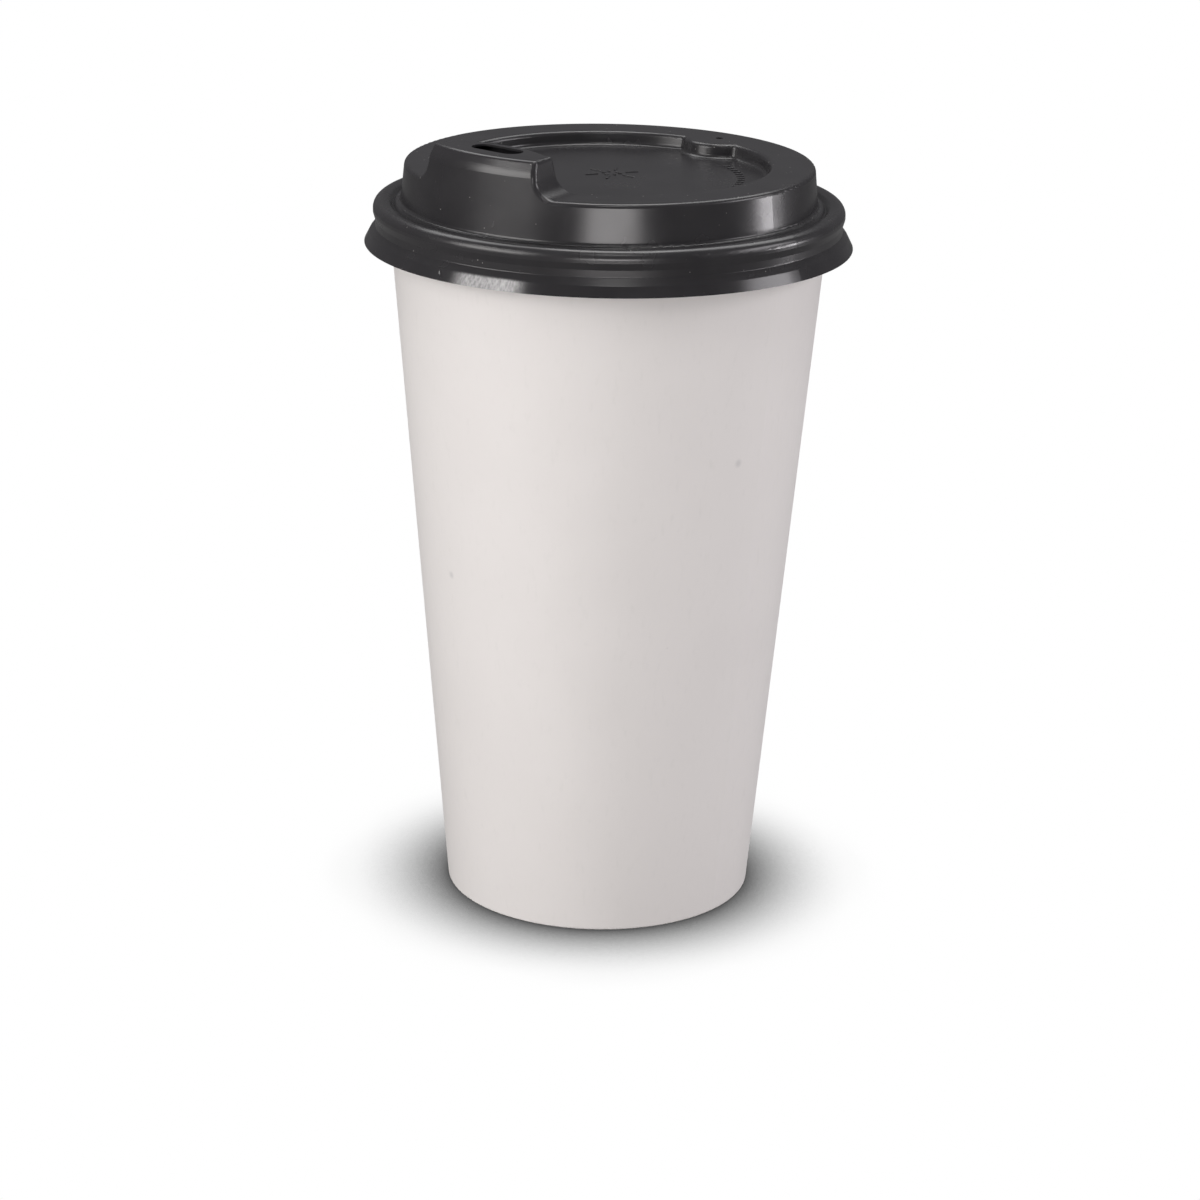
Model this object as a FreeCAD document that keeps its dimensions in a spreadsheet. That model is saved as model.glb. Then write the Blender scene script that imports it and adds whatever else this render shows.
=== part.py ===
import FreeCAD, Part
import math
import os
import re
import Sketcher

# Paper coffee cup with a sip lid, in millimetres.
# Origin: centre of the foot, on the surface that the cup stands on. +Z is up,
# the mouthpiece of the lid faces -Y and the cup's side seam is at +Y.

os.makedirs("parts", exist_ok=True)
doc = FreeCAD.newDocument("paper_coffee_cup")

# Driving sizes
SIZES = [
    # cup side wall
    ("cup_height", 139.0),        # foot to the top of the rolled rim
    ("base_radius", 30.5),        # outer face of the wall at the foot
    ("rim_radius", 44.4),         # outside of the rolled rim
    ("paper", 0.4),               # thickness of the coated board
    ("curl_radius", 1.15),        # outside radius of the roll's own section
    ("curl_end_angle", 30.0),     # where the roll's free edge stops, past straight down
    ("hem_height", 7.0),          # fold at the foot that grips the bottom disc
    ("fold_radius", 0.4),         # outside bend of that fold
    ("ply_gap", 0.03),            # room between pressed plies of board
    ("seam_width", 8.0),          # overlap of the wrapped blank
    ("seam_step", 0.36),          # how far the lap stands proud after pressing
    ("seam_bite", 0.2),           # how deep the lap is bonded into the wall below it
    ("seam_foot", 0.6),           # where the lap starts above the foot
    ("seam_end_gap", 0.6),        # plain wall between the lap and the rolled rim
    # bottom disc
    ("floor_height", 9.0),        # top face of the disc
    ("disc_bend", 0.9),           # outside bend between disc and skirt
    # sip lid
    ("lid_sheet", 0.4),           # thickness of the thermoformed sheet
    ("snap_gap", 0.3),            # neck to rim, and bead to the top of the rim
    ("skirt_drop", 7.3),          # rim top down to the edge of the skirt
    ("skirt_proud", 2.07),        # skirt at its edge, out from the neck
    ("lip_proud", 1.05),          # skirt at the top of that lip, out from the neck
    ("lip_height", 2.0),          # steeper lip of the skirt, below the shoulder
    ("lip_round", 0.8),
    ("flare_rise", 1.27),         # flared shoulder between lip and neck
    ("flare_round", 0.3),
    ("neck_height", 1.4),         # snap groove below the bead
    ("neck_round", 0.3),
    ("bead_proud", 0.4),          # bead over the rolled rim, out from the neck
    ("bead_swell", 1.3),          # rise from the neck to the full bead
    ("bead_round", 1.7),
    ("crest_inset", 1.9),         # inner end of the bead's crest, in from the rim
    ("crest_rise", 0.66),         # how far the crest climbs from there out to the bead's side
    ("crest_round", 0.8),
    ("crease_inset", 2.75),       # narrow groove inside the bead, in from the rim
    ("crease_depth", 0.8),
    ("crease_round", 0.12),
    ("ledge_inset", 3.25),        # flat ledge between groove and wall, in from the rim
    ("ledge_drop", 0.15),         # ledge below the crest
    ("wall_foot_inset", 4.2),    # raised wall at the ledge, in from the rim
    ("wall_foot_round", 0.7),
    ("ring_height", 8.3),         # top of the raised ring above the rim
    ("ring_inset", 13.5),         # inner edge of the ring, in from the rim
    ("recess_depth", 2.75),       # ring down to the middle panel
    ("recess_foot_round", 0.9),
    ("draft", 8.0),               # slope of recess, boss and mouthpiece walls, in degrees
    ("edge_round", 0.9),          # convex edges of the ring and boss, and the mouthpiece's corners
    # mouthpiece
    ("mouth_height", 15.1),       # top of the mouthpiece above the rim
    ("mouth_band", 2.2),          # height of the sloping lip band
    ("mouth_band_inset", 5.42),   # wall at the lower edge of that band, in from the rim
    ("mouth_band_round", 4.0),    # soft bend there
    ("mouth_edge_inset", 6.6),    # wall at the top of that band, in from the rim
    ("mouth_apex_inset", 95.2),   # where the planes of the two end walls meet, in from the rim
    ("mouth_flare", 9.0),         # angle of each end wall from the middle, in degrees
    ("mouth_top_round", 0.9),     # edge of the mouthpiece's top
    ("mouth_back_inset", 17.55),  # middle of the back wall at ring level, in from the rim
    ("mouth_back_bow", 26.0),     # radius of the bowed back wall
    ("mouth_corner_round", 1.1),  # where the back wall meets the recess
    ("mouth_foot_round", 4.0),    # sweep from the end walls down to the ring
    ("slot_length", 11.4),
    ("slot_width", 4.6),
    ("slot_inset", 12.3),         # middle of the slot, in from the rim
    # vent
    ("vent_inset", 11.0),         # vent hole, in from the rim
    ("vent_bore", 1.5),
    ("boss_inset", 10.0),         # middle of the boss at the vent hole, in from the rim
    ("boss_radius", 7.4),
    ("boss_root_round", 1.5),     # where the boss meets the recess
]

sheet = doc.addObject("Spreadsheet::Sheet", "sizes")
for row, (alias, number) in enumerate(SIZES, start=1):
    sheet.set("A%d" % row, alias)
    sheet.set("B%d" % row, str(number))
    sheet.setAlias("B%d" % row, alias)
doc.recompute()


def cells(text):
    """Turn bare size names into references to the sheet."""
    return re.sub(r"\b[a-z][a-z_]*\b(?!\()", lambda found: "sizes." + found.group(), text)


def value(text):
    """Present value of a formula of size names."""
    return float(sheet.evalExpression(cells(text)))


def body_named(name):
    body = doc.addObject("PartDesign::Body", name)
    body.Label = name
    return body


def sketch_on(body, role, name, raised=None):
    """Empty sketch on one of the body's own origin planes, or at a height above it."""
    sketch = body.newObject("Sketcher::SketchObject", name)
    support = [part for part in body.Origin.OriginFeatures if part.Role == role]
    sketch.AttachmentSupport = (support[0], [""])
    sketch.MapMode = "FlatFace"
    if raised:
        sketch.setExpression("AttachmentOffset.Base.z", cells(raised))
    return sketch


def bind(sketch, constraint, formula):
    """Add a dimension whose datum follows a formula of size names."""
    index = sketch.addConstraint(constraint)
    sketch.setExpression("Constraints[%d]" % index, cells(formula))


def place(sketch, line, end, across, along):
    """Dimension one end of a sketch element from the sketch's origin."""
    if across == "0":
        sketch.addConstraint(Sketcher.Constraint("PointOnObject", line, end, -2))
    else:
        bind(sketch, Sketcher.Constraint("DistanceX", -1, 1, line, end, value(across)), across)
    if along == "0":
        sketch.addConstraint(Sketcher.Constraint("PointOnObject", line, end, -1))
    else:
        bind(sketch, Sketcher.Constraint("DistanceY", -1, 1, line, end, value(along)), along)


def join(sketch, first, first_end, second, second_end):
    sketch.addConstraint(Sketcher.Constraint("Coincident", first, first_end, second, second_end))


def closed_outline(sketch, corners):
    """Closed outline of straight lines through corners given as pairs of formulas."""
    points = [FreeCAD.Vector(value(across), value(along), 0) for across, along in corners]
    count = len(points)
    for index, point in enumerate(points):
        sketch.addGeometry(Part.LineSegment(point, points[(index + 1) % count]), False)
    for index in range(count):
        join(sketch, index, 2, (index + 1) % count, 1)
    for index, (across, along) in enumerate(corners):
        place(sketch, index, 1, across, along)
    return points


def feature(body, kind, name, sketch=None, **formulas):
    """Add a feature and bind its properties to formulas of size names."""
    made = body.newObject("PartDesign::" + kind, name)
    if sketch:
        made.Profile = sketch
    for prop, formula in formulas.items():
        made.setExpression(prop, cells(formula))
    body.Tip = made
    return made


def revolve(body, name, sketch):
    made = feature(body, "Revolution", name, sketch)
    made.ReferenceAxis = (sketch, ["V_Axis"])
    made.Angle = 360.0
    doc.recompute()
    return made


NEAR = 0.01                  # places that count as the same, in millimetres
SHARP = math.radians(25)     # edges flatter than this are left as they are


def is_sharp(shape, edge):
    """True where the two faces that share the edge meet at a clear angle."""
    faces = shape.ancestorsOfType(edge, Part.Face)
    if len(faces) != 2:
        return False
    middle = edge.valueAt((edge.FirstParameter + edge.LastParameter) / 2)
    normals = [face.normalAt(*face.Surface.parameter(middle)) for face in faces]
    return normals[0].getAngle(normals[1]) > SHARP


def round_edges(body, name, radius, wanted):
    """Fillet the edges of the body's last feature that the test accepts."""
    base = body.Tip
    names = []
    for number, edge in enumerate(base.Shape.Edges, start=1):
        if wanted(edge) and is_sharp(base.Shape, edge):
            names.append("Edge%d" % number)
    made = feature(body, "Fillet", name, Radius=radius)
    made.Base = (base, names)
    made.Refine = False
    doc.recompute()
    return made


# Heights of the lid, from the foot of the cup
RIM = "cup_height"
CREST = RIM + " + snap_gap + lid_sheet"
LEDGE = CREST + " - ledge_drop"
RING = RIM + " + ring_height"
MOUTH = RIM + " + mouth_height"
SKIRT = RIM + " - skirt_drop"
LIP = SKIRT + " + lip_height"
NECK = LIP + " + flare_rise"
NECK_RADIUS = "rim_radius + snap_gap + lid_sheet"


def inset_from_rim(size):
    """Formula of a radius of the lid that is given as a distance in from the rim."""
    return "(rim_radius - %s)" % size


# Section of the lid's outer face, from the middle of the mouthpiece's top out and down to the skirt
LID_SECTION = [
    ("0", MOUTH),
    (inset_from_rim("mouth_edge_inset"), MOUTH),
    (inset_from_rim("mouth_band_inset"), MOUTH + " - mouth_band"),
    (inset_from_rim("wall_foot_inset"), LEDGE),
    (inset_from_rim("ledge_inset"), LEDGE),
    (inset_from_rim("crease_inset"), CREST + " - crease_depth"),
    (inset_from_rim("crest_inset"), CREST),
    (NECK_RADIUS + " + bead_proud", CREST + " + crest_rise"),
    (NECK_RADIUS + " + bead_proud", NECK + " + neck_height + bead_swell"),
    (NECK_RADIUS, NECK + " + neck_height"),
    (NECK_RADIUS, NECK),
    (NECK_RADIUS + " + lip_proud", LIP),
    (NECK_RADIUS + " + skirt_proud", SKIRT),
]


# Rounding of that section's corners by their place in the list: radius of the outer face, and
# whether the sheet bulges out there, so that the inner face has the smaller radius
LID_ROUNDS = {
    2: ("mouth_band_round", True),
    3: ("wall_foot_round", False),
    5: ("crease_round", False),
    6: ("crest_round", True),
    7: ("bead_round", True),
    9: ("neck_round", False),
    10: ("flare_round", False),
    11: ("lip_round", True),
}


def guide_lines(sketch, points):
    """Construction lines from point to point."""
    runs = zip(points, points[1:])
    return [sketch.addGeometry(Part.LineSegment(start, end), True) for start, end in runs]


def outer_guides(sketch):
    """Sharp-cornered section of the outer face, each corner dimensioned."""
    corners = [FreeCAD.Vector(value(across), value(along), 0) for across, along in LID_SECTION]
    guides = guide_lines(sketch, corners)
    for line, (across, along) in zip(guides, LID_SECTION):
        place(sketch, line, 1, across, along)
    place(sketch, guides[-1], 2, *LID_SECTION[-1])
    for line, after in zip(guides, guides[1:]):
        join(sketch, line, 2, after, 1)
    return guides, corners


def inner_guides(sketch, outer, corners):
    """The same section one sheet further in, run out below the skirt to leave the lid open."""
    thick = value("lid_sheet")
    normals = []
    for start, end in zip(corners, corners[1:]):
        way = (end - start).normalize()
        normals.append(FreeCAD.Vector(way.y, -way.x, 0))
    inner = [corners[0] + normals[0] * thick]
    for corner, before, after in zip(corners[1:], normals, normals[1:]):
        inner.append(corner + (before + after) * (thick / (1 + before.dot(after))))
    last = corners[-1] + normals[-1] * thick
    down = (corners[-1] - corners[-2]).normalize()
    below = value(SKIRT + " - lid_sheet")
    inner.append(last + down * ((below - last.y) / down.y))
    guides = guide_lines(sketch, inner)
    for line, beside in zip(guides, outer):
        sketch.addConstraint(Sketcher.Constraint("Parallel", beside, line))
        bind(sketch, Sketcher.Constraint("Distance", beside, 1, line, thick), "lid_sheet")
    for line, after in zip(guides, guides[1:]):
        join(sketch, line, 2, after, 1)
    sketch.addConstraint(Sketcher.Constraint("PointOnObject", guides[0], 1, -2))
    bind(sketch, Sketcher.Constraint("DistanceY", -1, 1, guides[-1], 2, below), SKIRT + " - lid_sheet")
    return guides, inner


def on_guide(sketch, line, end, guide, rounded):
    """Hold one end of a drawn line on its guide, at the guide's own end unless an arc starts there."""
    if rounded:
        sketch.addConstraint(Sketcher.Constraint("PointOnObject", line, end, guide))
    else:
        join(sketch, line, end, guide, end)


def trace(sketch, guides, corners, rounds):
    """Draw over the guides with the given corners rounded, and close the outline at the centre line."""
    cuts, arcs = {}, {}
    for index, radius in rounds.items():
        back = (corners[index - 1] - corners[index]).normalize()
        on = (corners[index + 1] - corners[index]).normalize()
        half = back.getAngle(on) / 2
        size = value(radius)
        reach = size / math.tan(half)
        cuts[index] = (corners[index] + back * reach, corners[index] + on * reach)
        arcs[index] = corners[index] + (back + on).normalize() * (size / math.sin(half))
    lines = []
    for index, guide in enumerate(guides):
        start = cuts[index][1] if index in cuts else corners[index]
        end = cuts[index + 1][0] if index + 1 in cuts else corners[index + 1]
        line = sketch.addGeometry(Part.LineSegment(start, end), False)
        on_guide(sketch, line, 1, guide, index in cuts)
        on_guide(sketch, line, 2, guide, index + 1 in cuts)
        lines.append(line)
    for index, radius in rounds.items():
        enter, leave = cuts[index]
        circle = Part.Circle(arcs[index], FreeCAD.Vector(0, 0, 1), value(radius))
        turns_left = (corners[index] - corners[index - 1]).cross(corners[index + 1] - corners[index]).z > 0
        first, second = (enter, leave) if turns_left else (leave, enter)
        arc = sketch.addGeometry(
            Part.ArcOfCircle(circle, circle.parameter(first), circle.parameter(second)), False)
        near, far = (1, 2) if turns_left else (2, 1)
        sketch.addConstraint(Sketcher.Constraint("Tangent", lines[index - 1], 2, arc, near))
        sketch.addConstraint(Sketcher.Constraint("Tangent", arc, far, lines[index], 1))
        bind(sketch, Sketcher.Constraint("Radius", arc, value(radius)), radius)
    foot = FreeCAD.Vector(0, corners[-1].y, 0)
    bottom = sketch.addGeometry(Part.LineSegment(corners[-1], foot), False)
    middle = sketch.addGeometry(Part.LineSegment(foot, corners[0]), False)
    join(sketch, lines[-1], 2, bottom, 1)
    join(sketch, bottom, 2, middle, 1)
    join(sketch, middle, 2, lines[0], 1)
    sketch.addConstraint(Sketcher.Constraint("Horizontal", bottom))
    sketch.addConstraint(Sketcher.Constraint("PointOnObject", bottom, 2, -2))


def lid_section(sketch, inset):
    guides, corners = outer_guides(sketch)
    if inset != "0":
        guides, corners = inner_guides(sketch, guides, corners)
    rounds = {}
    for index, (radius, bulges) in LID_ROUNDS.items():
        rounds[index] = "%s %s %s" % (radius, "-" if bulges else "+", inset)
    trace(sketch, guides, corners, rounds)


# How far a drafted wall leans between the ring and the top of the mouthpiece
LEAN = "(mouth_height - ring_height) * tan(draft)"
REACH = "2 * rim_radius"
SLOT_PLACE = inset_from_rim("slot_inset")
VENT_PLACE = inset_from_rim("vent_inset")
BOSS_PLACE = inset_from_rim("boss_inset")


def recess_outline(sketch, inset):
    """Round recess with the bowed back of the mouthpiece, at the level of the mouthpiece's top."""
    recess = "%s + %s + %s" % (inset_from_rim("ring_inset"), LEAN, inset)
    bow = "mouth_back_bow - %s - %s" % (LEAN, inset)
    bow_place = "-(%s + mouth_back_bow)" % inset_from_rim("mouth_back_inset")
    big, small, far = value(recess), value(bow), value(bow_place)
    meet_y = (big ** 2 - small ** 2 + far ** 2) / (2 * far)
    meet_x = (big ** 2 - meet_y ** 2) ** 0.5
    middle, bow_middle = FreeCAD.Vector(0, 0, 0), FreeCAD.Vector(0, far, 0)
    up = FreeCAD.Vector(0, 0, 1)
    right = FreeCAD.Vector(meet_x, meet_y, 0)
    left = FreeCAD.Vector(-meet_x, meet_y, 0)
    full, short = Part.Circle(middle, up, big), Part.Circle(bow_middle, up, small)
    sketch.addGeometry(Part.ArcOfCircle(full, full.parameter(right), full.parameter(left)), False)
    sketch.addGeometry(Part.ArcOfCircle(short, short.parameter(right), short.parameter(left)), False)
    join(sketch, 0, 3, -1, 1)
    place(sketch, 1, 3, "0", bow_place)
    bind(sketch, Sketcher.Constraint("Radius", 0, big), recess)
    bind(sketch, Sketcher.Constraint("Radius", 1, small), bow)
    join(sketch, 0, 1, 1, 1)
    join(sketch, 0, 2, 1, 2)


def around_mouth_outline(sketch, inset):
    """Everything outside the mouthpiece, whose end walls run from the middle out past the lid, at its top."""
    meet = inset_from_rim("mouth_apex_inset")
    apex = "(-%s - (%s + %s) / sin(mouth_flare))" % (meet, LEAN, inset)
    narrow = "%s * tan(mouth_flare)" % apex
    wide = "(%s + %s) * tan(mouth_flare)" % (apex, REACH)
    closed_outline(sketch, [
        (narrow, "0"),
        (wide, "-(%s)" % REACH),
        (REACH, "-(%s)" % REACH),
        (REACH, REACH),
        ("-(%s)" % REACH, REACH),
        ("-(%s)" % REACH, "-(%s)" % REACH),
        ("-(%s)" % wide, "-(%s)" % REACH),
        ("-(%s)" % narrow, "0"),
    ])


def boss_outline(sketch, inset):
    """Half disc that carries the vent hole, at ring level."""
    radius = "boss_radius - %s" % inset
    size = value(radius)
    middle = FreeCAD.Vector(0, value(BOSS_PLACE), 0)
    side = FreeCAD.Vector(size, 0, 0)
    disc = Part.Circle(middle, FreeCAD.Vector(0, 0, 1), size)
    ends = [disc.parameter(middle - side), disc.parameter(middle + side)]
    sketch.addGeometry(Part.ArcOfCircle(disc, *ends), False)
    sketch.addGeometry(Part.LineSegment(middle + side, middle - side), False)
    place(sketch, 0, 3, "0", BOSS_PLACE)
    bind(sketch, Sketcher.Constraint("Radius", 0, size), radius)
    join(sketch, 0, 2, 1, 1)
    join(sketch, 1, 2, 0, 1)
    sketch.addConstraint(Sketcher.Constraint("Horizontal", 1))
    sketch.addConstraint(Sketcher.Constraint("PointOnObject", 0, 3, 1))


def lid_form(name, inset):
    """Solid with one face of the lid's sheet: the outer face, or the inner face one sheet below."""
    body = body_named(name)
    hollow = "%s + " + inset
    sketch = sketch_on(body, "XZ_Plane", name + "_section")
    lid_section(sketch, inset)
    revolve(body, name + "_turned", sketch)

    top = "%s - %s" % (MOUTH, inset)
    sketch = sketch_on(body, "XY_Plane", name + "_recess_outline", top)
    recess_outline(sketch, inset)
    feature(body, "Pocket", name + "_recess", sketch,
            Length="mouth_height - ring_height + recess_depth", TaperAngle="-draft")
    doc.recompute()
    sketch = sketch_on(body, "XY_Plane", name + "_around_mouth_outline", top)
    around_mouth_outline(sketch, inset)
    feature(body, "Pocket", name + "_around_mouth", sketch,
            Length="mouth_height - ring_height", TaperAngle="-draft")
    doc.recompute()
    sketch = sketch_on(body, "XY_Plane", name + "_boss_outline", "%s - %s" % (RING, inset))
    boss_outline(sketch, inset)
    boss = feature(body, "Pad", name + "_boss", sketch, Length="recess_depth", TaperAngle="draft")
    boss.Reversed = True
    doc.recompute()

    ring = value("%s - %s" % (RING, inset))
    floor = value("%s - recess_depth - %s" % (RING, inset))

    def upright(edge, front):
        """Upright edge of the recess, on the mouthpiece's side or on the vent's side."""
        box = edge.BoundBox
        if abs(box.ZMin - floor) > NEAR or box.ZLength < value("recess_depth") - NEAR:
            return False
        return abs(box.Center.x) > NEAR and (box.YMax < 0) == front

    def mouth_foot(edge):
        """Where an end wall of the mouthpiece meets the ring."""
        box = edge.BoundBox
        return (box.ZMax - box.ZMin < NEAR and abs(box.ZMax - ring) < NEAR
                and box.YMax < 0 and box.YLength > value("edge_round"))

    def recess_foot(edge):
        return abs(edge.BoundBox.ZMax - floor) < NEAR and edge.BoundBox.ZLength < NEAR

    round_edges(body, name + "_mouth_corners", hollow % "mouth_corner_round",
                lambda edge: upright(edge, True))
    round_edges(body, name + "_boss_roots", hollow % "boss_root_round",
                lambda edge: upright(edge, False))
    round_edges(body, name + "_mouth_foot", hollow % "mouth_foot_round", mouth_foot)
    round_edges(body, name + "_recess_foot", hollow % "recess_foot_round", recess_foot)
    crown = value(top)
    round_edges(body, name + "_edges", "edge_round - " + inset,
                lambda edge: ring - NEAR < edge.BoundBox.ZMin < crown - NEAR)
    round_edges(body, name + "_mouth_top", "mouth_top_round - " + inset,
                lambda edge: edge.BoundBox.ZMin > crown - NEAR)
    return body


# Sip lid: the sheet between the two forms, with its slot and vent cut through
lid_outside = lid_form("lid_outside", "0")
lid_inside = lid_form("lid_inside", "lid_sheet")


def part_object(kind, name, at=None, **formulas):
    """Add a solid of the Part workbench with its sizes and place bound to formulas."""
    made = doc.addObject("Part::" + kind, name)
    for prop, formula in formulas.items():
        made.setExpression(prop, cells(formula))
    for axis, formula in (at or {}).items():
        made.setExpression("Placement.Base." + axis, cells(formula))
    return made


def combine(kind, name, base, tool):
    made = doc.addObject("Part::" + kind, name)
    made.Base = base
    made.Tool = tool
    made.Label = name
    return made


def combine_all(name, pieces):
    made = doc.addObject("Part::MultiFuse", name)
    made.Shapes = pieces
    return made


lid_sheet = combine("Cut", "lid_sheet_formed", lid_outside, lid_inside)
THROUGH = "2 * (mouth_height - ring_height)"
STRAIGHT = "(slot_length - slot_width)"
slot_pieces = [part_object(
    "Box", "slot_middle", at={"x": "-%s / 2" % STRAIGHT, "y": "-%s - slot_width / 2" % SLOT_PLACE, "z": RING},
    Length=STRAIGHT, Width="slot_width", Height=THROUGH)]
for side, sign in (("left", "-"), ("right", "")):
    slot_pieces.append(part_object(
        "Cylinder", "slot_" + side, at={"x": "%s%s / 2" % (sign, STRAIGHT), "y": "-" + SLOT_PLACE, "z": RING},
        Radius="slot_width / 2", Height=THROUGH))
slot = combine_all("slot_cut", slot_pieces)
vent = part_object("Cylinder", "vent_cut", at={"y": VENT_PLACE, "z": RING + " - recess_depth"},
                   Radius="vent_bore / 2", Height="2 * recess_depth")
lid_openings = combine_all("lid_openings", [slot, vent])
sip_lid = combine("Cut", "sip_lid", lid_sheet, lid_openings)


# Cup side wall: one wrapped blank, rolled outward at the rim and folded in and up at the foot
CURL_X = "rim_radius - curl_radius"
CURL_Z = "cup_height - curl_radius"
CURL_INSIDE = "curl_radius - paper"
RISE = "(%s)" % CURL_Z
RUN = "(%s - base_radius)" % CURL_X
# Lean of the wall from upright: it rises from the foot and meets the inside of the roll as a tangent
LEAN_ANGLE = "(atan(%s / %s) - asin((%s) / sqrt(%s ^ 2 + %s ^ 2)))" % (RUN, RISE, CURL_INSIDE, RUN, RISE)


def wall_radius(height):
    """Formula of the wall's outer radius at a height."""
    return "base_radius + (%s) * tan(%s)" % (height, LEAN_ANGLE)


def parallel(sketch, line, beside, beside_end, distance):
    """Hold a line parallel to another at a distance."""
    sketch.addConstraint(Sketcher.Constraint("Parallel", beside, line))
    bind(sketch, Sketcher.Constraint("Distance", beside, beside_end, line, value(distance)), distance)


def chain(sketch, points):
    """Lines from point to point, joined end to end."""
    runs = zip(points, points[1:])
    lines = [sketch.addGeometry(Part.LineSegment(start, end), False) for start, end in runs]
    for line, after in zip(lines, lines[1:]):
        join(sketch, line, 2, after, 1)
    return lines


def level(sketch, line, end, height):
    bind(sketch, Sketcher.Constraint("DistanceY", -1, 1, line, end, value(height)), height)


def sidewall_section(sketch):
    """Closed section of the board, from the foot up the outside, round the roll, down and into the hem."""
    lean = math.radians(value(LEAN_ANGLE))
    middle = FreeCAD.Vector(value(CURL_X), value(CURL_Z), 0)
    inward = FreeCAD.Vector(-math.cos(lean), math.sin(lean), 0)
    slope = FreeCAD.Vector(math.tan(lean), 1, 0)
    past = math.radians(value("curl_end_angle"))
    free = FreeCAD.Vector(-math.sin(past), -math.cos(past), 0)
    across = FreeCAD.Vector(1 / math.cos(lean), 0, 0)
    small, large, paper = value(CURL_INSIDE), value("curl_radius"), value("paper")
    channel = value("paper + 2 * ply_gap")
    foot = FreeCAD.Vector(value("base_radius"), 0, 0)

    wall = sketch.addGeometry(Part.LineSegment(foot, middle + inward * small), False)
    arcs = []
    for radius in (small, large):
        circle = Part.Circle(middle, FreeCAD.Vector(0, 0, 1), radius)
        ends = [circle.parameter(middle + way * radius) for way in (free, inward)]
        arcs.append(sketch.addGeometry(Part.ArcOfCircle(circle, *ends), False))
    under, over = arcs
    cap = sketch.addGeometry(Part.LineSegment(middle + free * small, middle + free * large), False)
    inner_foot = foot + slope * paper - across * paper
    hem_foot = inner_foot - across * channel
    hem_top = hem_foot + slope * (value("hem_height") - paper)
    hem_end = hem_foot - slope * paper - across * paper
    inner, channel_floor, hem, hem_edge, hem_back, bottom = chain(sketch, [
        middle + inward * large, inner_foot, hem_foot, hem_top, hem_top - across * paper, hem_end, foot])

    place(sketch, wall, 1, "base_radius", "0")
    place(sketch, under, 3, CURL_X, CURL_Z)
    join(sketch, over, 3, under, 3)
    bind(sketch, Sketcher.Constraint("Radius", under, small), CURL_INSIDE)
    bind(sketch, Sketcher.Constraint("Radius", over, large), "curl_radius")
    sketch.addConstraint(Sketcher.Constraint("Tangent", wall, 2, under, 2))
    sketch.addConstraint(Sketcher.Constraint("Tangent", inner, 1, over, 2))
    join(sketch, under, 1, cap, 1)
    join(sketch, cap, 2, over, 1)
    sketch.addConstraint(Sketcher.Constraint("PointOnObject", under, 3, cap))
    bind(sketch, Sketcher.Constraint("Angle", cap, -math.pi / 2 - past), "-90 - curl_end_angle")
    sketch.addConstraint(Sketcher.Constraint("Parallel", wall, inner))
    level(sketch, inner, 2, "paper")
    parallel(sketch, hem, inner, 2, "paper + 2 * ply_gap")
    level(sketch, hem, 2, "hem_height")
    parallel(sketch, hem_back, hem, 1, "paper")
    sketch.addConstraint(Sketcher.Constraint("Horizontal", channel_floor))
    sketch.addConstraint(Sketcher.Constraint("Horizontal", hem_edge))
    sketch.addConstraint(Sketcher.Constraint("PointOnObject", hem_back, 2, -1))
    join(sketch, bottom, 2, wall, 1)


def at_height(height):
    """Test for an edge that lies level at a height."""
    return lambda edge: edge.BoundBox.ZLength < NEAR and abs(edge.BoundBox.ZMin - value(height)) < NEAR


sidewall_turned = body_named("sidewall_turned")
section = sketch_on(sidewall_turned, "XZ_Plane", "sidewall_section")
sidewall_section(section)
revolve(sidewall_turned, "sidewall_sheet", section)
round_edges(sidewall_turned, "foot_fold", "fold_radius", at_height("0"))

# The glued lap at the back, a strip of the same board pressed onto the wall and run out on one side
SEAM_TOP = CURL_Z + " - curl_radius - seam_end_gap"
SEAM_HEIGHT = SEAM_TOP + " - seam_foot"


def wall_cone(name, proud):
    """Cone beside the wall's outer face over the height of the lap."""
    return part_object("Cone", name, at={"z": "seam_foot"}, Height=SEAM_HEIGHT,
                       Radius1=wall_radius("seam_foot") + proud, Radius2=wall_radius(SEAM_TOP) + proud)


lap_sheet = combine("Cut", "lap_sheet", wall_cone("lap_face", " + seam_step"),
                    wall_cone("lap_bond", " - seam_bite"))
lap_blank = part_object("Box", "lap_blank", at={"x": "-seam_width / 2", "z": "seam_foot"},
                        Length="seam_width", Width="rim_radius", Height=SEAM_HEIGHT)
lap_strip = combine("Common", "lap_strip", lap_sheet, lap_blank)
cup_sidewall = combine("Fuse", "cup_sidewall", sidewall_turned, lap_strip)


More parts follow.
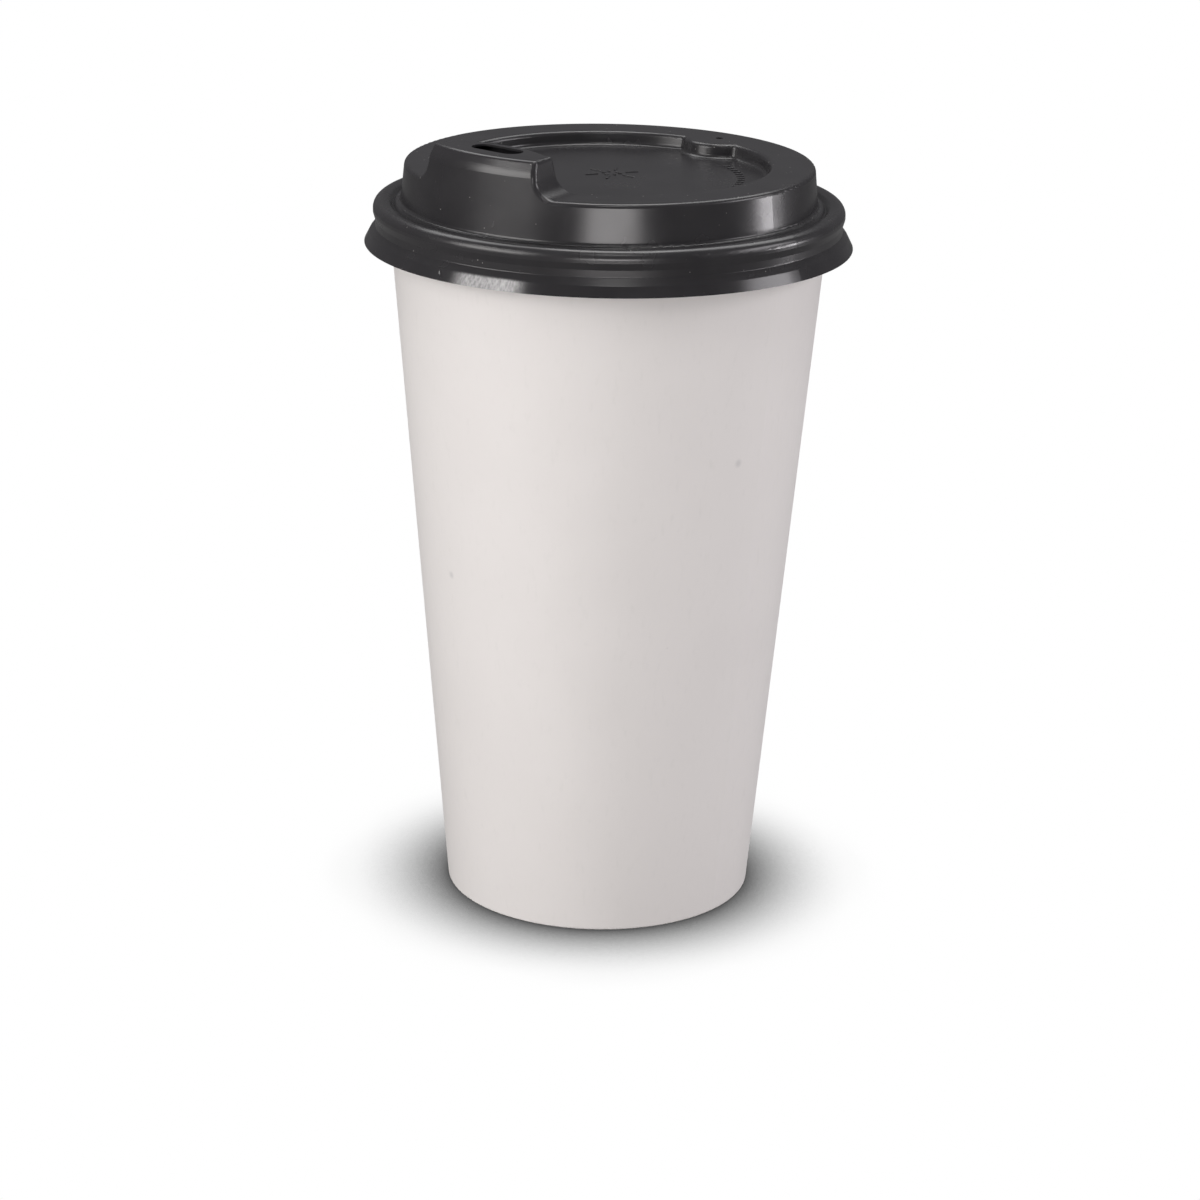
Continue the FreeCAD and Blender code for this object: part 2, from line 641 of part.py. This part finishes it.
# Bottom disc: level board with its rim turned down between the wall and the hem
def disc_section(sketch):
    lean = math.radians(value(LEAN_ANGLE))
    slope = FreeCAD.Vector(math.tan(lean), 1, 0)
    across = FreeCAD.Vector(1 / math.cos(lean), 0, 0)
    foot = FreeCAD.Vector(value("base_radius"), 0, 0)
    middle = FreeCAD.Vector(value(CURL_X), value(CURL_Z), 0)
    paper, gap = value("paper"), value("ply_gap")
    high = value("floor_height")

    guide = sketch.addGeometry(Part.LineSegment(foot, foot + slope * middle.y), True)
    roll = Part.Circle(middle, FreeCAD.Vector(0, 0, 1), value(CURL_INSIDE))
    roll = sketch.addGeometry(roll, True)
    place(sketch, guide, 1, "base_radius", "0")
    level(sketch, guide, 2, CURL_Z)
    place(sketch, roll, 3, CURL_X, CURL_Z)
    bind(sketch, Sketcher.Constraint("Radius", roll, value(CURL_INSIDE)), CURL_INSIDE)
    sketch.addConstraint(Sketcher.Constraint("Tangent", guide, roll))

    outer = foot - across * (paper + gap)
    inner = outer - across * paper
    low = paper + gap
    top, skirt, edge, back, under, middle_line = chain(sketch, [
        FreeCAD.Vector(0, high, 0), outer + slope * high, outer + slope * low, inner + slope * low,
        inner + slope * (high - paper), FreeCAD.Vector(0, high - paper, 0), FreeCAD.Vector(0, high, 0)])
    join(sketch, middle_line, 2, top, 1)
    place(sketch, top, 1, "0", "floor_height")
    sketch.addConstraint(Sketcher.Constraint("Horizontal", top))
    parallel(sketch, skirt, guide, 1, "paper + ply_gap")
    level(sketch, skirt, 2, "paper + ply_gap")
    sketch.addConstraint(Sketcher.Constraint("Horizontal", edge))
    parallel(sketch, back, skirt, 2, "paper")
    place(sketch, under, 2, "0", "floor_height - paper")
    sketch.addConstraint(Sketcher.Constraint("Horizontal", under))


cup_bottom = body_named("cup_bottom")
section = sketch_on(cup_bottom, "XZ_Plane", "disc_section")
disc_section(section)
revolve(cup_bottom, "disc_sheet", section)
round_edges(cup_bottom, "disc_bend_outside", "disc_bend", at_height("floor_height"))
round_edges(cup_bottom, "disc_bend_inside", "disc_bend - paper", at_height("floor_height - paper"))

# Every object has to be sound before anything is written
doc.recompute()
for thing in doc.Objects:
    if "Invalid" in thing.State or "Error" in thing.State:
        raise RuntimeError("%s failed: %s" % (thing.Name, thing.State))
for piece in (cup_sidewall, cup_bottom, sip_lid):
    if piece.Shape.isNull() or not piece.Shape.isValid() or len(piece.Shape.Solids) != 1:
        raise RuntimeError("%s has no single sound solid" % piece.Label)
    piece.Shape.exportStep("parts/%s.step" % piece.Label)
    print(piece.Label, "volume %.1f" % piece.Shape.Volume)
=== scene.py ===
import math

import bmesh
import bpy
from mathutils import Matrix, Vector


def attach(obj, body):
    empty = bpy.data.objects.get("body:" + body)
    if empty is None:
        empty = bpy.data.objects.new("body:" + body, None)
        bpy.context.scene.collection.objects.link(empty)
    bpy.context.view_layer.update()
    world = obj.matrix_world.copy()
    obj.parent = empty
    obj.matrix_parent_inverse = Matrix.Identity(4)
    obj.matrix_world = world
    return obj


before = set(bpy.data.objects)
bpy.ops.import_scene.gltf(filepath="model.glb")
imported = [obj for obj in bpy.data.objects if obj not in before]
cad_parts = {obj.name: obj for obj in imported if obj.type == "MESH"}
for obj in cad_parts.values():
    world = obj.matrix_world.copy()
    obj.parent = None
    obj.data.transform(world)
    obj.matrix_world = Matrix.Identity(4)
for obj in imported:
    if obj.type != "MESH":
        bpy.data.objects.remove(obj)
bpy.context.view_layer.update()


# Cup board: bleached paperboard with a thin matt coating, printed plain white.
# The side wall is one blank wrapped and glued along the lap at +Y, with a rolled rim and a
# pressed hem; the bottom is a disc of the same board, so both nodes share the finish.

def new_material(name):
    """Material with its shader and a coordinate output on the object's own millimetres."""
    material = bpy.data.materials.new(name)
    material.use_nodes = True
    nodes, links = material.node_tree.nodes, material.node_tree.links
    place = nodes.new("ShaderNodeTexCoord")
    metre_to_mm = nodes.new("ShaderNodeVectorMath")
    metre_to_mm.operation = "SCALE"
    metre_to_mm.inputs["Scale"].default_value = 1000.0
    links.new(place.outputs["Object"], metre_to_mm.inputs[0])
    return material, nodes["Principled BSDF"], metre_to_mm.outputs["Vector"]


def noise(material, where, per_mm, detail, stretch=(1.0, 1.0, 1.0)):
    """Noise whose grains are about 1 / per_mm across, drawn out along an axis of low stretch."""
    nodes, links = material.node_tree.nodes, material.node_tree.links
    mapping = nodes.new("ShaderNodeMapping")
    mapping.inputs["Scale"].default_value = stretch
    texture = nodes.new("ShaderNodeTexNoise")
    texture.inputs["Scale"].default_value = per_mm
    texture.inputs["Detail"].default_value = detail
    links.new(where, mapping.inputs["Vector"])
    links.new(mapping.outputs["Vector"], texture.inputs["Vector"])
    return texture.outputs["Fac"]


def fit_range(material, source, low, high, to_low, to_high):
    """Map a range of a value to another range, smoothly and clamped."""
    nodes, links = material.node_tree.nodes, material.node_tree.links
    ranged = nodes.new("ShaderNodeMapRange")
    ranged.interpolation_type = "SMOOTHSTEP"
    ranged.inputs["From Min"].default_value = low
    ranged.inputs["From Max"].default_value = high
    ranged.inputs["To Min"].default_value = to_low
    ranged.inputs["To Max"].default_value = to_high
    links.new(source, ranged.inputs["Value"])
    return ranged.outputs["Result"]


def math_of(material, operation, first, second):
    """Result of a sum on two values, each a number or an output."""
    nodes, links = material.node_tree.nodes, material.node_tree.links
    node = nodes.new("ShaderNodeMath")
    node.operation = operation
    for socket, operand in zip(node.inputs, (first, second)):
        if isinstance(operand, float):
            socket.default_value = operand
        else:
            links.new(operand, socket)
    return node.outputs["Value"]


def vector_of(material, operation, first, second):
    """Node of a vector sum on two vectors, each a tuple or an output."""
    nodes, links = material.node_tree.nodes, material.node_tree.links
    node = nodes.new("ShaderNodeVectorMath")
    node.operation = operation
    for socket, operand in zip(node.inputs, (first, second)):
        if isinstance(operand, tuple):
            socket.default_value = operand
        else:
            links.new(operand, socket)
    return node


def mixed_color(material, factor, first, second):
    """Blend of two colours, each an RGB triple or another colour output."""
    nodes, links = material.node_tree.nodes, material.node_tree.links
    node = nodes.new("ShaderNodeMix")
    node.data_type = "RGBA"
    links.new(factor, node.inputs["Factor"])
    for socket, color in ((node.inputs[6], first), (node.inputs[7], second)):
        if isinstance(color, tuple):
            socket.default_value = (*color, 1.0)
        else:
            links.new(color, socket)
    return node.outputs[2]


def near_point(material, where, point, inner, outer):
    """1 within the inner distance of a point, falling to 0 at the outer distance, in millimetres."""
    distance = vector_of(material, "DISTANCE", where, point).outputs["Value"]
    return fit_range(material, distance, inner, outer, 1.0, 0.0)


def add_bump(material, shader, layers):
    """Stack of bumps, each a height output with its depth in millimetres."""
    nodes, links = material.node_tree.nodes, material.node_tree.links
    before = None
    for height, depth_mm in layers:
        bump = nodes.new("ShaderNodeBump")
        bump.inputs["Strength"].default_value = 1.0
        bump.inputs["Distance"].default_value = depth_mm / 1000.0
        links.new(height, bump.inputs["Height"])
        if before:
            links.new(before, bump.inputs["Normal"])
        before = bump.outputs["Normal"]
    links.new(before, shader.inputs["Normal"])


BOARD_WHITE = (0.86, 0.83, 0.815)
BOARD_SHADE = (0.845, 0.815, 0.80)
FIBRE_FLECK = (0.76, 0.74, 0.72)
FLECK_SHARE = 0.25
SCUFF_GREY = (0.50, 0.49, 0.50)
SCUFF_SHARE = 0.45
# Depths of the board's slow waves, its fibres and its grain, in millimetres
WAVE_DEPTH = 0.12
FIBRE_DEPTH = 0.02
GRAIN_DEPTH = 0.006
# Small grey handling marks: place on the wall and reach, in millimetres
BOARD_MARKS = [
    ((38.9, -6.2, 96.0), 0.8),
    ((-7.9, -36.2, 70.4), 0.7),
    ((31.6, -17.4, 60.2), 0.3),
    ((38.4, 3.1, 87.1), 0.3),
]

board, board_shader, board_mm = new_material("cup_board_coated")
wave = noise(board, board_mm, 0.045, 2.0)
fibre = noise(board, board_mm, 0.9, 4.0, (1.0, 1.0, 0.35))
grain = noise(board, board_mm, 6.0, 2.0)
shade = mixed_color(board, fit_range(board, wave, 0.35, 0.65, 0.0, 1.0), BOARD_WHITE, BOARD_SHADE)
fleck = math_of(board, "MULTIPLY", fit_range(board, fibre, 0.55, 0.8, 0.0, 1.0), FLECK_SHARE)
shade = mixed_color(board, fleck, shade, FIBRE_FLECK)
for spot, reach in BOARD_MARKS:
    mark = near_point(board, board_mm, spot, reach * 0.4, reach * 1.6)
    shade = mixed_color(board, math_of(board, "MULTIPLY", mark, SCUFF_SHARE), shade, SCUFF_GREY)
board_rough = fit_range(board, fibre, 0.3, 0.7, 0.46, 0.62)
board.node_tree.links.new(shade, board_shader.inputs["Base Color"])
board.node_tree.links.new(board_rough, board_shader.inputs["Roughness"])
board_shader.inputs["Specular IOR Level"].default_value = 0.35
board_shader.inputs["Sheen Weight"].default_value = 0.08
board_shader.inputs["Sheen Roughness"].default_value = 0.5
add_bump(board, board_shader, [(wave, WAVE_DEPTH), (fibre, FIBRE_DEPTH), (grain, GRAIN_DEPTH)])

for node in ("cup_sidewall", "cup_bottom"):
    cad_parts[node].data.materials[0] = board


# Sip lid: black polystyrene sheet, warmed and drawn over a mould by vacuum, then trimmed and
# punched. Half gloss, with light dust lying on its top, and a scuffed and nicked skirt at the front
# left where lids rub in their stack. There the skirt is painted light grey, partly as wear and
# partly as a painted highlight standing in for a lamp's reflection.

def near_line(material, where, start, end, inner, outer):
    """As near_point, for the distance to a straight line between two points."""
    along = Vector(end) - Vector(start)
    from_start = vector_of(material, "SUBTRACT", where, start).outputs["Vector"]
    per_length = tuple(along / along.length_squared)
    share = vector_of(material, "DOT_PRODUCT", from_start, per_length).outputs["Value"]
    share = math_of(material, "MINIMUM", math_of(material, "MAXIMUM", share, 0.0), 1.0)
    nearest = vector_of(material, "SCALE", tuple(along), (0.0, 0.0, 0.0))
    material.node_tree.links.new(share, nearest.inputs["Scale"])
    distance = vector_of(material, "DISTANCE", from_start, nearest.outputs["Vector"])
    return fit_range(material, distance.outputs["Value"], inner, outer, 1.0, 0.0)


SHEET_BLACK = (0.022, 0.021, 0.023)
SHEET_WORN = (0.045, 0.043, 0.046)
WORN_SHARE = 0.25
SHEET_RUBBED_AND_HIGHLIGHT = (0.44, 0.435, 0.44)
DUST = (0.30, 0.29, 0.28)
SPECKS_PER_MM = 0.55
# Height of the lip in millimetres: below it the skirt is smoother, by this share of the roughness
LIP_LOW = 133.4
LIP_HIGH = 134.0
SKIRT_SMOOTH = 0.65
# Middle of the scuffed stretch of the skirt, painted lighter there as wear and as a painted
# highlight, and the two ends of the nick beside it
SCUFF_AND_HIGHLIGHT_MIDDLE = (9.8, -45.6, 132.6)
NICK_TOP = (-1.6, -46.7, 134.1)
NICK_FOOT = (-0.5, -46.7, 132.4)
SCRATCH_DEPTH = 0.02
NICK_DEPTH = 0.12

sheet, sheet_shader, sheet_mm = new_material("lid_plastic_satin")
nodes, links = sheet.node_tree.nodes, sheet.node_tree.links
mottle = noise(sheet, sheet_mm, 0.12, 3.0)
specks = nodes.new("ShaderNodeTexVoronoi")
specks.inputs["Scale"].default_value = SPECKS_PER_MM
specks.inputs["Randomness"].default_value = 1.0
links.new(sheet_mm, specks.inputs["Vector"])
speck = fit_range(sheet, specks.outputs["Distance"], 0.03, 0.075, 1.0, 0.0)
dusty = fit_range(sheet, noise(sheet, sheet_mm, 0.33, 1.0), 0.50, 0.58, 0.0, 1.0)
worn = fit_range(sheet, mottle, 0.2, 0.8, 0.0, WORN_SHARE)
plastic = mixed_color(sheet, worn, SHEET_BLACK, SHEET_WORN)
plastic = mixed_color(sheet, math_of(sheet, "MULTIPLY", speck, dusty), plastic, DUST)

scratches = noise(sheet, sheet_mm, 2.0, 2.0, (1.0, 1.0, 0.06))
height = nodes.new("ShaderNodeSeparateXYZ")
links.new(sheet_mm, height.inputs["Vector"])
on_skirt = fit_range(sheet, height.outputs["Z"], LIP_LOW, LIP_HIGH, 1.0, 0.0)
# The scuffed stretch of the skirt is painted light grey in streaks: partly rubbed wear, partly a
# painted highlight of a lamp's reflection.
scuff_and_highlight = math_of(sheet, "MULTIPLY", on_skirt, near_point(sheet, sheet_mm, SCUFF_AND_HIGHLIGHT_MIDDLE, 4.0, 8.5))
rubbed_and_highlight = math_of(sheet, "MULTIPLY", fit_range(sheet, scratches, 0.25, 0.75, 0.5, 1.0), scuff_and_highlight)
plastic = mixed_color(sheet, rubbed_and_highlight, plastic, SHEET_RUBBED_AND_HIGHLIGHT)
smoother = fit_range(sheet, on_skirt, 0.0, 1.0, 1.0, SKIRT_SMOOTH)
sheet_rough = math_of(sheet, "MULTIPLY", fit_range(sheet, mottle, 0.2, 0.8, 0.24, 0.28), smoother)
scratched = math_of(sheet, "MULTIPLY", scratches, scuff_and_highlight)
nick = near_line(sheet, sheet_mm, NICK_TOP, NICK_FOOT, 0.05, 0.45)

links.new(plastic, sheet_shader.inputs["Base Color"])
links.new(sheet_rough, sheet_shader.inputs["Roughness"])
sheet_shader.inputs["IOR"].default_value = 1.5
add_bump(sheet, sheet_shader, [(scratched, SCRATCH_DEPTH), (nick, -NICK_DEPTH)])

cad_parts["sip_lid"].data.materials[0] = sheet


# Raised marks on the lid's panel: short plain bars of the same black sheet, drawn into grooves of
# the mould. Two arcs and a small rosette that say nothing, each bar rounded along its top.

# Heights and sizes in millimetres
PANEL_TOP = 144.55
MARK_WIDTH = 0.5
MARK_HEIGHT = 0.22
MARK_SUNK = 0.06
MARK_ROUND = 0.09
CUP_AXIS = (0.0, 0.0)
ROSETTE_MIDDLE = (-1.3, 2.1)
# Middle of the circle, its radius, first and last bar in degrees, number of bars, their length
MARK_ROWS = [
    (CUP_AXIS, 27.0, 124.0, 153.0, 9, 1.3),
    (CUP_AXIS, 25.2, 14.0, 66.0, 13, 1.5),
    (ROSETTE_MIDDLE, 4.1, 0.0, 300.0, 6, 2.6),
    (ROSETTE_MIDDLE, 1.6, 30.0, 330.0, 6, 0.9),
]
mark_mesh = bmesh.new()
for middle, radius, first, last, count, length in MARK_ROWS:
    for step in range(count):
        turn = math.radians(first + (last - first) * step / (count - 1))
        bar = (
            Matrix.Translation((*middle, PANEL_TOP - MARK_SUNK + MARK_HEIGHT / 2))
            @ Matrix.Rotation(turn, 4, "Z")
            @ Matrix.Translation((radius, 0.0, 0.0))
            @ Matrix.Diagonal((length, MARK_WIDTH, MARK_HEIGHT, 1.0))
        )
        bmesh.ops.create_cube(mark_mesh, size=1.0, matrix=bar)
upper_edges = [edge for edge in mark_mesh.edges if max(v.co.z for v in edge.verts) > PANEL_TOP]
bmesh.ops.bevel(mark_mesh, geom=upper_edges, offset=MARK_ROUND, segments=2, profile=0.5,
                affect="EDGES", material=-1)
bmesh.ops.scale(mark_mesh, vec=(0.001, 0.001, 0.001), verts=mark_mesh.verts)
mark_data = bpy.data.meshes.new("lid_raised_marks")
mark_mesh.to_mesh(mark_data)
mark_mesh.free()
mark_data.materials.append(sheet)
lid_marks = bpy.data.objects.new("lid_raised_marks", mark_data)
bpy.context.collection.objects.link(lid_marks)
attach(lid_marks, "lid")


# Studio floor: one white sheet that runs out of sight and darkens softly close to the cup.
# It isn't part of the cup.

FLOOR_SIZE = 3.0
# Reach of the soft shadow in metres, the open share of the sky where it begins and ends, and how
# dark it gets
CONTACT_REACH = 0.03
OPEN_LOW = 0.45
OPEN_HIGH = 0.97
CONTACT_DARK = 0.08
# Grey that the cup sees in place of the white
FLOOR_GREY = (0.18, 0.18, 0.18, 1.0)

floor_mesh = bmesh.new()
bmesh.ops.create_grid(floor_mesh, x_segments=1, y_segments=1, size=FLOOR_SIZE / 2)
floor_data = bpy.data.meshes.new("floor")
floor_mesh.to_mesh(floor_data)
floor_mesh.free()
floor = bpy.data.objects.new("floor", floor_data)
bpy.context.collection.objects.link(floor)

floor_material = bpy.data.materials.new("floor_white")
floor_material.use_nodes = True
nodes, links = floor_material.node_tree.nodes, floor_material.node_tree.links
floor_shader = nodes["Principled BSDF"]
floor_shader.inputs["Base Color"].default_value = FLOOR_GREY
floor_shader.inputs["Roughness"].default_value = 0.9
floor_shader.inputs["Specular IOR Level"].default_value = 0.0
contact = nodes.new("ShaderNodeAmbientOcclusion")
contact.samples = 16
contact.inputs["Distance"].default_value = CONTACT_REACH
contact_shade = fit_range(
    floor_material, contact.outputs["AO"], OPEN_LOW, OPEN_HIGH, CONTACT_DARK, 1.0)
white = nodes.new("ShaderNodeEmission")
sight = nodes.new("ShaderNodeLightPath")
floor_mix = nodes.new("ShaderNodeMixShader")
links.new(contact_shade, white.inputs["Strength"])
links.new(sight.outputs["Is Camera Ray"], floor_mix.inputs["Fac"])
links.new(floor_shader.outputs["BSDF"], floor_mix.inputs[1])
links.new(white.outputs["Emission"], floor_mix.inputs[2])
links.new(floor_mix.outputs["Shader"], nodes["Material Output"].inputs["Surface"])
floor_data.materials.append(floor_material)


# Surround: white to the camera, a soft grey light from all round for the cup, and darker where
# the glossy lid mirrors it.

ROOM_LIGHT = 0.27
ROOM_MIRRORED = 0.13

world = bpy.data.worlds.new("studio")
bpy.context.scene.world = world
world.use_nodes = True
nodes, links = world.node_tree.nodes, world.node_tree.links
room = nodes["Background"]
room.inputs["Color"].default_value = (1.0, 0.99, 0.985, 1.0)
room.inputs["Strength"].default_value = ROOM_LIGHT
mirrored = nodes.new("ShaderNodeBackground")
mirrored.inputs["Color"].default_value = (0.98, 0.97, 1.0, 1.0)
mirrored.inputs["Strength"].default_value = ROOM_MIRRORED
backdrop = nodes.new("ShaderNodeBackground")
backdrop.inputs["Color"].default_value = (1.0, 1.0, 1.0, 1.0)
backdrop.inputs["Strength"].default_value = 1.0
sight = nodes.new("ShaderNodeLightPath")
seen = nodes.new("ShaderNodeMath")
seen.operation = "MAXIMUM"
glossy_mix = nodes.new("ShaderNodeMixShader")
seen_mix = nodes.new("ShaderNodeMixShader")
links.new(sight.outputs["Is Camera Ray"], seen.inputs[0])
links.new(sight.outputs["Is Transmission Ray"], seen.inputs[1])
links.new(sight.outputs["Is Glossy Ray"], glossy_mix.inputs["Fac"])
links.new(room.outputs["Background"], glossy_mix.inputs[1])
links.new(mirrored.outputs["Background"], glossy_mix.inputs[2])
links.new(seen.outputs["Value"], seen_mix.inputs["Fac"])
links.new(glossy_mix.outputs["Shader"], seen_mix.inputs[1])
links.new(backdrop.outputs["Background"], seen_mix.inputs[2])
links.new(seen_mix.outputs["Shader"], nodes["World Output"].inputs["Surface"])


# Camera at the photograph's viewpoint. Distances in metres; the view is turned about the cup,
# tilted down and rolled.

VIEW_TURN = math.radians(40.5)
VIEW_DISTANCE = 0.6482
VIEW_HEIGHT = 0.2767
VIEW_ASIDE = -0.00041
VIEW_TILT = math.radians(18.61)
VIEW_ROLL = math.radians(1.04)
LENS_MM = 102.45
SENSOR_MM = 36.0

camera_data = bpy.data.cameras.new("camera")
camera_data.lens = LENS_MM
camera_data.sensor_width = SENSOR_MM
camera_data.clip_start = 0.01
camera = bpy.data.objects.new("camera", camera_data)
bpy.context.collection.objects.link(camera)
camera.matrix_world = (
    Matrix.Rotation(VIEW_TURN, 4, "Z")
    @ Matrix.Translation((VIEW_ASIDE, -VIEW_DISTANCE, VIEW_HEIGHT))
    @ Matrix.Rotation(math.pi / 2 - VIEW_TILT, 4, "X")
    @ Matrix.Rotation(VIEW_ROLL, 4, "Z")
)
bpy.context.scene.camera = camera
bpy.context.scene.view_settings.view_transform = "Standard"


# Lamps: soft rectangles that all face the middle of the cup. The low ones draw the upright
# streaks on the lid's wall, the high ones the lines along its bead, lip and edges.

AIM = Vector((0.0, 0.0, 0.09))
# Side of the viewpoint in degrees (right is positive), rise in degrees, distance, width and
# height in metres, power in watts, colour
LAMPS = [
    ("left_soft", -58.0, 18.0, 0.90, 0.60, 0.40, 4.1, (1.0, 0.98, 0.965)),
    ("left_high", -60.0, 38.0, 1.10, 0.50, 0.07, 0.9, (1.0, 0.98, 0.97)),
    ("front_low", 1.5, 1.0, 0.75, 0.36, 0.13, 1.5, (1.0, 0.97, 0.97)),
    ("front_top", 4.0, 58.0, 1.00, 0.24, 0.20, 0.7, (1.0, 0.99, 0.98)),
    ("right_low", 94.0, 1.0, 0.75, 0.14, 0.14, 1.1, (0.98, 0.95, 0.98)),
    ("right_soft", 84.0, 24.0, 1.10, 0.50, 0.30, 2.6, (0.98, 0.95, 0.98)),
    ("top", 170.0, 80.0, 0.90, 0.40, 0.30, 2.6, (1.0, 0.99, 0.98)),
    ("back_left", -140.0, 55.0, 1.20, 0.60, 0.60, 3.5, (1.0, 1.0, 1.0)),
    ("back_right", 140.0, 55.0, 1.20, 0.60, 0.60, 3.5, (1.0, 1.0, 1.0)),
]
for name, side, rise, distance, width, height, power, color in LAMPS:
    lamp_data = bpy.data.lights.new(name, "AREA")
    lamp_data.shape = "RECTANGLE"
    lamp_data.size = width
    lamp_data.size_y = height
    lamp_data.energy = power
    lamp_data.color = color
    lamp = bpy.data.objects.new(name, lamp_data)
    bpy.context.collection.objects.link(lamp)
    raised = math.radians(rise)
    toward = Vector((0.0, -math.cos(raised), math.sin(raised)))
    toward.rotate(Matrix.Rotation(VIEW_TURN + math.radians(side), 3, "Z"))
    facing = toward.to_track_quat("Z", "Y").to_matrix().to_4x4()
    lamp.matrix_world = Matrix.Translation(AIM + toward * distance) @ facing
